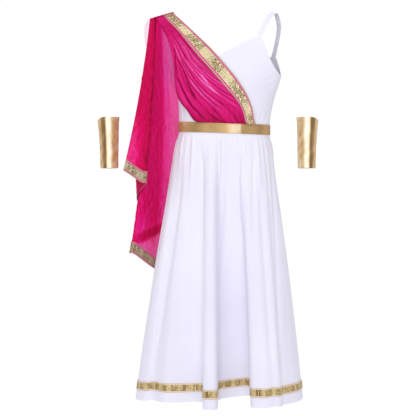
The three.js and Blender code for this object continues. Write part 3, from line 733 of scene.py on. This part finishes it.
def make_waistband():
    """A plain ring of foil cloth over the waist seam, lightly creased."""
    turns = np.linspace(0, 360, 340, endpoint=False)
    waist = on_figure(turns, WAIST_HEIGHT)
    middle = waist_height(waist[:, 0], waist[:, 1])[:, None]
    shares = np.linspace(0.5, -0.5, 21)
    heights = middle + shares * WAISTBAND_WIDTH
    grid = on_figure(turns[:, None], heights)
    along, down = (run_lengths(grid, True)[:-1, :, k] for k in (0, 1))
    wrinkles = 0.25 * crinkle(down * 2.2, along, 13, 5) + 0.3 * crinkle(along, down, 34, 6)
    front_crease, side_crease = 68, 131
    upright = -1.5 * hump(turns[:, None] - front_crease, 1.6) - hump(turns[:, None] - side_crease, 1.8)
    from_edge = 0.5 - np.abs(shares)
    crumple = (wrinkles + upright) * 0.3 * smooth(from_edge / 0.12)
    outer = WAISTBAND_LAYER[1] + crumple - 0.7 * (1 - smooth(from_edge / 0.04))
    # painted highlight: the foil is painted pale beside its crease as if it caught the light, with painted shade
    # duller beyond it and painted light on its side
    painted_highlight = smooth((turns - front_crease) / 2.5) * (1 - smooth((turns - 73) / 24))
    dull = smooth((turns - 30) / 14) * (1 - smooth((turns - 66) / 2.5))
    waves = 0.08 * crinkle(turns / 360 * 0.63, 0 * turns, 60, 7)
    side = smooth((turns - 120) / 50) * (1 - smooth((turns - 190) / 30))
    tone = 0.38 + 0.45 * painted_highlight - 0.08 * dull + 0.2 * side + waves
    made = wall("waistband", grid, (WAISTBAND_LAYER[0], outer), FOIL, ring=True, tone=tone[:, None])
    dress_piece(made, "waistband")


def skirt_levels():
    """Levels down the skirt, closer together by the waist and by the trim, and the rows of the trim."""
    trim_top, trim_bottom = 1 - HEM_TRIM_TOP / SKIRT_LENGTH, 1 - HEM_TRIM_BOTTOM / SKIRT_LENGTH
    upper = np.concatenate([np.linspace(0, 0.12, 16), np.linspace(0.12, trim_top, 62)[1:]])
    trim = np.linspace(trim_top, trim_bottom, 17)[1:]
    lower = trim_bottom + (1 - trim_bottom) * np.array([0.2, 0.45, 0.7, 0.85, 0.94, 1])
    return np.concatenate([upper, trim, lower]), slice(len(upper) - 1, len(upper) + len(trim))


def make_skirt():
    """Folds run from the waist to the hem, with small uneven gathers below the waistband."""
    yoke, bell, column_step = 0.02, 0.06, 4.6
    folds = SKIRT_FOLDS
    turns, left_column = [], 0
    for index in range(len(folds["turn"]) - 1):
        if folds["turn"][index] == 180:
            left_column = len(turns)
        step = np.hypot(*(folds[axis][index + 1] - folds[axis][index] for axis in "xy"))
        pieces = max(4, math.ceil(step / column_step))
        turns += list(np.linspace(folds["turn"][index], folds["turn"][index + 1], pieces, endpoint=False))
    turns = np.array(turns)
    levels, trim_rows = skirt_levels()
    hem = read(folds, "turn", turns)
    waist = on_figure(turns, WAIST_HEIGHT)
    seam = waist_height(waist[:, 0], waist[:, 1]) - SEAM_GAP / 2
    free = np.maximum(levels - yoke, 0) / (1 - yoke)
    flare = free + bell * np.sin(np.pi * free)
    x = blend(waist[:, :1], hem["x"][:, None], flare)
    y = blend(waist[:, 1:2], hem["y"][:, None], flare)
    z = blend(seam[:, None], HEM_HEIGHT + hem["lift"][:, None], levels)
    grid = np.stack([x, y, z], -1)

    def gather_fade(reach):
        deepest = blend(0.14, 0.5, reach)
        return np.sin(np.pi * np.clip(free / deepest, 0, 1) ** 0.6)[None] ** 2

    place = turns[:, None] + 0 * levels
    gathers = random_ridges(place, gather_fade, 36, 0, 360, 2.3, 3.6, 11)
    gathers += random_ridges(place, lambda reach: gather_fade(0.35 * reach), 70, 0, 360, 1.1, 1.5, 12)
    soft = creases(turns[:, None], levels, SKIRT_CREASES, (2.9, SKIRT_LENGTH))
    grid = moved_out(grid, (gathers + soft) * smooth(free / 0.03) * smooth((1 - levels) / 0.09), True)
    normals = normals_of(grid, True)
    below = (1 - levels) * SKIRT_LENGTH
    turned_up = 0.35 * (1 - smooth((below - 22) / 2))
    parts = (("front", 0, left_column), ("back", left_column, len(grid)))
    for side, first, last in parts:
        panel, directions = cut_panel(grid, normals, first, last)
        sunk = 0.6 * seam_groove(last - first + 1)[:, None]
        made = wall(
            f"skirt_{side}", panel, (DRESS_LAYER[0] - sunk, DRESS_LAYER[1] + turned_up - sunk),
            DRESS, normals=directions,
        )
        dress_piece(made, f"skirt_{side}")
        band, band_normals = cut_panel(grid, normals, first, last, trim_rows)
        make_trim(
            f"hem_trim_{side}", band, band_normals, DRESS_TRIM_LAYER, HEM_CORD_HEIGHT, HEM_BROCADE
        )


def make_trim(node, band, normals, layer, cord, materials):
    """A trim laid on its panel, with a raised cord along both edges."""
    share = np.abs(np.linspace(-0.5, 0.5, band.shape[1]))
    outer = layer[1] + (cord * hump(share - 0.44, 0.045) - 0.3 * (share > 0.495))
    distances = (layer[0], np.repeat(outer[None], len(band), 0))
    made = wall(node, band, distances, materials, normals=normals, across_share=True)
    dress_piece(made, node)


def in_front_of_figure(x, height):
    """A point in front of the worn form, which the drape clears."""
    section = read(FIGURE, "height", height)
    side = (x - section["centre"]) / (section["half_width"] + 22)
    y = -section["half_depth"] * np.sqrt(np.maximum(1 - side * side, 0)) - 3.2
    return np.stack([x, y, height], -1)


def make_drape():
    """Gathered at the left shoulder, folded across the chest and sewn in at the waist, with its trim."""
    trim_columns, cloth_columns, rows = 16, 190, 150
    on_trim = np.concatenate([np.linspace(1, 0, trim_columns), np.zeros(cloth_columns)])[:, None]
    across = np.concatenate([np.ones(trim_columns), np.linspace(1, 0, cloth_columns + 1)[1:]])[:, None]
    down = np.linspace(0, 1, rows)[None]
    row = read(DRAPE, "at", down)
    x, z = (
        blend(blend(row["left_" + axis], row["trim_" + axis], across), row["edge_" + axis], on_trim) for axis in "xz"
    )
    z = np.minimum(z, shoulder_height(x) - DRAPE_TUCK)
    grid = in_front_of_figure(x, z)
    waistband_top = waist_height(grid[..., 0], grid[..., 1]) + WAISTBAND_WIDTH / 2 + LAYER_GAP
    grid[..., 2] = blend(grid[..., 2], waistband_top, smooth((down - 0.9) / 0.1))
    # the folds run nearly straight from the shoulder and fan out towards the waist
    fan = across / np.exp(DRAPE_FAN_RATE * np.maximum(down - DRAPE_FAN_LEVEL, 0))
    fade = smooth(down / 0.3) * (1 - 0.85 * smooth((down - 0.84) / 0.16))
    held = smooth((1 - across) / 0.05) * smooth(across / 0.02 + 0.4)
    main = random_ridges(fan, lambda reach: fade * blend(0.7, 1, reach), 17, 0.0, 1.05, 0.034, 5.6, 21, np.maximum)
    fine = random_ridges(fan, lambda reach: fade * reach, 38, 0.0, 1.05, 0.010, 0.9, 22)
    folds = main + fine
    # painted shade: darker in the troughs and sharp valleys between the folds and in the deep creases, paler on
    # ridges, less so lower down
    shade = (0.1 * (main - 2.6) + 0.05 * fine - 0.55 * hump(main, 1.5)) * smooth(down / 0.3)
    shade = shade * (1 - 0.6 * smooth((down - 0.74) / 0.18))
    for downs, acrosses, width, height in DRAPE_CREASES:
        ends = smooth((down - downs[0]) / 0.06) * smooth((downs[-1] - down) / 0.06)
        line = ends * hump(across - np.interp(down, downs, acrosses), width)
        folds = folds + height * line
        shade = shade + (0.4 if height > 0 else -0.5) * line
    grid = moved_out(grid, np.clip(folds + 0.6, -0.6, 8) * held)
    normals = normals_of(grid)
    # painted light: a painted highlight glows across the middle, and the free edge is a little darker
    strip = 1 - smooth((across - 0.06) / 0.06)
    glow = hump(across - 0.62, 0.16) * hump(down - 0.56, 0.2)
    tone = np.clip(0.5 + shade - 0.08 * strip + 0.12 * glow, 0, 1)
    made = wall("drape_front", grid, CHIFFON_LAYER, DRAPE_CHIFFON, normals=normals, tone=tone)
    dress_piece(made, "drape_front")
    band, band_normals = (points[:trim_columns].transpose(1, 0, 2)[::-1] for points in (grid, normals))
    make_trim("drape_trim", band, band_normals, CHIFFON_TRIM_LAYER, CORD_HEIGHT, DRAPE_BROCADE)


def make_shoulder_band():
    """A short arched strip that gathers the drape in front and the cape behind."""
    half_depth, arch = 17, 3
    x = np.linspace(SHOULDER_SEAM["left"], SHOULDER_SEAM["right"], 110)[:, None]
    side = np.linspace(-1, 1, 36)[None]
    z = shoulder_height(x) - 1.4 - arch * side**2
    grid = np.stack(np.broadcast_arrays(x, side * half_depth, z), -1)
    gathers = random_ridges(x + 0 * side, lambda reach: blend(0.7, 1, reach), 15, -184, -132, 1.2, 1.3, 31)
    grid = moved_out(grid, (gathers - 0.6) * smooth((1 - np.abs(side)) / 0.15))
    # painted shade: the band is painted paler on the ridges of its gathers and darker between them
    made = wall("shoulder_band", grid, CHIFFON_LAYER, DRAPE_CHIFFON, tone=0.42 + 0.16 * gathers)
    dress_piece(made, "shoulder_band")


def cape_line_points(share):
    """A point of each fold line of the cape, on a curve through its top, its middle and its hem."""
    line = {name: values[::-1] for name, values in CAPE_LINES.items()}
    top_z = shoulder_height(line["top_x"]) - CAPE_TUCK
    share = np.broadcast_to(share, line["top_x"].shape)
    middle = (line["mid_z"] - top_z) / (line["hem_z"] - top_z)
    at_top = (share - middle) * (share - 1) / middle
    at_middle = share * (share - 1) / (middle * (middle - 1))
    at_hem = share * (share - middle) / (1 - middle)
    x, y = (
        line["top_" + axis] * at_top + line["mid_" + axis] * at_middle + line["hem_" + axis] * at_hem for axis in "xy"
    )
    return np.stack([x, y, blend(top_z, line["hem_z"], share)], -1)


def rounded_folds(points, share):
    """A path through the fold lines in which each sharp fold is a small rounded turn."""
    path = []
    for index, (point, turn) in enumerate(zip(points, CAPE_LINES["round"][::-1])):
        if turn == 0:
            path.append(point)
            continue
        arriving = (point - points[index - 1]) * (1, 1, 0)
        arriving /= np.linalg.norm(arriving)
        sideways = np.array([-arriving[1], arriving[0], 0])
        offset = blend(2 * np.sign(turn), turn, share)
        path += [point - sideways * offset, point + sideways * offset]
    return np.array(path)


def path_point(path, segment, t):
    """A point on the centripetal curve through a path's points."""
    padded = np.vstack([2 * path[0] - path[1], path, 2 * path[-1] - path[-2]])
    p0, p1, p2, p3 = padded[segment : segment + 4]
    d0, d1, d2 = (math.sqrt(np.linalg.norm(b - a)) for a, b in ((p0, p1), (p1, p2), (p2, p3)))
    leave = ((p1 - p0) / d0 - (p2 - p0) / (d0 + d1) + (p2 - p1) / d1) * d1
    arrive = ((p2 - p1) / d1 - (p3 - p1) / (d1 + d2) + (p3 - p2) / d2) * d1
    cubic, square = 2 * p1 - 2 * p2 + leave + arrive, -3 * p1 + 3 * p2 - 2 * leave - arrive
    t = np.asarray(t)[:, None]
    return p1 + leave * t + square * t**2 + cubic * t**3


def make_loop():
    """A loose loop of the sheerest cloth, which puffs out beside the cape's shoulder."""
    at = np.linspace(0, 1, 70)
    row = {name: values[None] for name, values in read(LOOP, "at", at).items()}
    turn = np.linspace(-90, 90, 46)[:, None]
    bulge = np.sqrt(np.maximum(1 - (turn / 90) ** 2, 0))
    x, z = (blend(row["tuck_" + axis], row["edge_" + axis], bulge) for axis in "xz")
    depth = 2.6 * np.sin(np.pi * np.clip(at[None], 0.04, 0.96)) + 0.5
    y = 8.5 + depth * np.sin(np.radians(turn))
    grid = np.stack([x, y, z], -1)
    # painted light: the veil is painted a little paler where it bulges out
    tone = 0.9 + 0.1 * bulge + 0 * x
    made = wall("cape_loop", grid, LOOP_LAYER, VEIL, tone=tone)
    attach(made, "root")
    return made


def make_cape():
    """One sheet, folded to and fro between the shoulder and its slanting hem, with its trim."""
    above_trim = 1 + CAPE_TRIM_LENGTH / CAPE_LINES["hem_z"][::-1]
    cloth_rows, trim_rows, column_step = 100, 14, 4.2
    sections = [(share * above_trim, share) for share in np.linspace(0, 1, cloth_rows)]
    sections += [(blend(above_trim, 1, share), 1) for share in np.linspace(0, 1, trim_rows + 1)[1:]]
    paths = [rounded_folds(cape_line_points(at), share) for at, share in sections]
    hem = paths[-1]
    counts = [max(7, math.ceil(np.linalg.norm(b - a) / column_step)) for a, b in zip(hem[:-1], hem[1:])]
    rows = []
    for path in paths:
        row = [path_point(path, index, np.arange(n) / n) for index, n in enumerate(counts)]
        rows.append(np.vstack(row + [path[-1:]]))
    grid = np.stack(rows, 1)
    along, down = (run_lengths(grid, False)[..., k] for k in (0, 1))
    reach = np.linspace(0, 1, len(sections))[None]
    fade = smooth((reach - 0.06) / 0.3) * (1 - 0.85 * smooth((reach - 0.84) / 0.04))
    hem_along = along[:, -1:] + 0 * down
    broad, narrow = crinkle(hem_along, down, 46, 41), crinkle(hem_along, down, 16, 42)
    edges = smooth(np.minimum(hem_along, hem_along.max() - hem_along) / 0.01 + 0.2)
    grid = moved_out(grid, (0.9 * broad + 0.4 * narrow) * fade * edges)
    normals = normals_of(grid)
    turn = np.concatenate([index + np.arange(n) / n for index, n in enumerate(counts)] + [[len(counts)]])
    turn = turn[:, None]
    # painted light and shade across the cape: paler where a single layer lets light through, at the free back edge,
    # the front corner and the tail, darker on the back of the front fold, paler on the crinkles' crests
    tone = np.interp(turn, CAPE_PAINTED_LIGHT["turn"], CAPE_PAINTED_LIGHT["tone"])
    front_corner = smooth((turn - 8.1) / 0.7) * smooth((reach - 0.52) / 0.3)
    on_tail = 1 - smooth((turn - 1.6) / 0.8)
    tail = on_tail * smooth((reach - 0.72) / 0.2)
    # painted shade: a deeper band slants across the tail, where the layers behind it end
    x, z = grid[..., 0], grid[..., 2]
    band_below = -569.5 + 0.45 * (x + 180) - z
    overlap = np.exp(-((band_below / 13) ** 4)) * on_tail
    tone = tone - 0.42 * overlap
    tone = tone + 0.32 * front_corner + 0.44 * tail + 0.04 * broad + 0.06 * narrow
    # painted light: the valley beside the front layer is painted paler near the top, so that its shade is deepest
    # half way down
    valley = hump(turn - 7.25, 0.5)
    tone = tone + valley * (0.35 * (1 - smooth((reach - 0.1) / 0.3)))
    made = wall("cape", grid, CHIFFON_LAYER, CHIFFON, normals=normals, tone=np.clip(tone, 0, 1))
    dress_piece(made, "cape", [make_loop()])
    band, band_normals = grid[:, cloth_rows - 1 :], normals[:, cloth_rows - 1 :]
    make_trim("cape_trim", band, band_normals, CHIFFON_TRIM_LAYER, CORD_HEIGHT, CAPE_SHADED_BROCADE)


def make_cuff(name, side):
    """A tapered tube of foil cloth whose upper edge dips on the outer side, creased down its front."""
    columns, rows = 150, 60
    turn = np.linspace(0, 360, columns, endpoint=False)[:, None]
    at = np.linspace(0, 1, rows)[None]
    section = read(CUFF_SECTIONS, "at", at)
    cosine, sine = np.cos(np.radians(turn)), np.sin(np.radians(turn))
    top = CUFF_TOP - CUFF_DIP * np.maximum(side * cosine, 0) ** 3
    x = CUFF_AXIS + side * section["centre"] + section["half_width"] * cosine
    y = -section["half_depth"] * sine
    z = blend(top, CUFF_TOP - CUFF_LENGTH, at)
    grid = np.stack(np.broadcast_arrays(x, y, z), -1)
    dent_turn = 90 - side * 30
    dent = -1.9 * hump(turn - dent_turn, 9) * smooth((at - 0.12) / 0.3)
    notch = -3.2 * hump(turn - dent_turn, 5) * smooth((at - 0.86) / 0.1)
    below_top = at * CUFF_LENGTH
    seam = -0.7 * hump(below_top - 13, 1.1) + 0.35 * (1 - smooth((below_top - 11) / 2))
    lower_seam = -0.5 * hump(CUFF_LENGTH - below_top - 6, 1.1)
    # metres round and down the cuff
    along, down = turn / 360 * 0.15, at * 0.132
    rumple = 0.16 * crinkle(along, down, 30, 51) + 0.1 * crinkle(down, turn / 900, 19, 52)
    grid = moved_out(grid, dent + notch + rumple * smooth((below_top - 14) / 12), True)
    outer = CUFF_LAYER[1] + (seam + lower_seam) + 0 * turn
    # painted reflection: upright dark and bright stripes down the front, with small random unevenness
    tone = np.interp(side * (turn - 90), CUFF_PAINTED_REFLECTION["turn"], CUFF_PAINTED_REFLECTION["tone"])
    tone = tone + 0.05 * crinkle(along, down, 24, 53)
    made = wall(name, grid, (CUFF_LAYER[0], outer), FOIL, ring=True, tone=tone)
    dress_piece(made, name)
    normals = normals_of(grid, True)
    row = round(11.5 / CUFF_LENGTH * (rows - 1))
    line = (grid + normals * outer[..., None])[:, row]
    foil_stitch_lines.append((np.vstack([line, line[:1]]), np.vstack([normals[:, row], normals[:1, row]])))


def make_camera():
    """The camera stands three metres in front of the costume, at the middle of the picture."""
    distance, sensor, middle_x, middle_z = 3.0, 36, -0.0425, -0.5096
    data = bpy.data.cameras.new("camera")
    data.sensor_width = sensor
    data.lens = sensor * distance / (PHOTO_WIDTH * PIXEL * MM)
    camera = add_object("camera", data)
    camera.location = (middle_x, -distance, middle_z)
    camera.rotation_euler = (math.radians(90), 0, 0)
    bpy.context.scene.camera = camera


def make_area_light(name, place, target, size, power):
    data = bpy.data.lights.new(name, "AREA")
    data.shape = "DISK"
    data.size = size
    data.energy = power
    light = add_object(name, data)
    light.location = place
    direction = np.array(target) - np.array(place)
    yaw = math.atan2(direction[0], -direction[1])
    pitch = math.atan2(math.hypot(direction[0], direction[1]), -direction[2])
    light.rotation_euler = (pitch, 0, math.pi + yaw)


def make_world():
    """A white studio: brightest in front, darker at both sides of the front so that foil shows its curve."""
    world = bpy.data.worlds.new("studio")
    bpy.context.scene.world = world
    nodes = Nodes(world)
    background = nodes.tree.nodes["Background"]
    direction = nodes.node("TexCoord").outputs["Generated"]
    place = nodes.node("SeparateXYZ", {0: direction}).outputs
    sideways, forwards = nodes.math("ABSOLUTE", place[0]), nodes.math("MULTIPLY", place[1], -1)
    turn = nodes.math("DIVIDE", nodes.math("ARCTAN2", sideways, forwards), math.pi)
    steps = ((0, 1.0), (0.075, 0.95), (0.12, 0.4), (0.22, 0.21), (0.33, 0.25), (0.5, 0.4), (1, 0.42))
    light = nodes.ramp(turn, [(at, (value, value * 0.99, value * 1.04)) for at, value in steps])
    camera_ray = nodes.node("LightPath").outputs["Is Camera Ray"]
    nodes.put(nodes.mix(camera_ray, light, colour(BACKDROP, BACKDROP, BACKDROP)), background.inputs[0])
    background.inputs[1].default_value = STUDIO_STRENGTH


def make_floor():
    """A pale round floor well below the hem."""
    radius, height, corners = 1.5, -1.36, 128
    angles = np.linspace(0, 2 * np.pi, corners, endpoint=False)
    rim = [(radius * math.cos(a), radius * math.sin(a), height) for a in angles]
    mesh = bpy.data.meshes.new("floor")
    mesh.from_pydata(rim, [], [tuple(range(corners))])
    mesh.materials.append(make_floor_material())
    add_object("floor", mesh)


make_camera()
make_bodice()
make_strap()
make_waistband()
make_skirt()
make_drape()
make_shoulder_band()
make_cape()
make_cuff("cuff_left", -1)
make_cuff("cuff_right", 1)
stitches("dress_stitches", dress_stitch_lines, 2.2, 0.9, 0.1, THREAD)
stitches("cuff_stitches", foil_stitch_lines, 2.2, 0.9, 0.16, FOIL)
make_floor()
make_world()
make_area_light("key", (-1.1, -2.1, 1.1), (0, 0, -0.15), 1.4, 12)
make_area_light("fill", (2.4, -1.6, 0.1), (0, 0, -0.5), 1.6, 4)
make_area_light("back", (0.4, 2.8, 1.2), (0, 0, -0.5), 1.6, 14)
bpy.context.scene.view_settings.view_transform = "Standard"
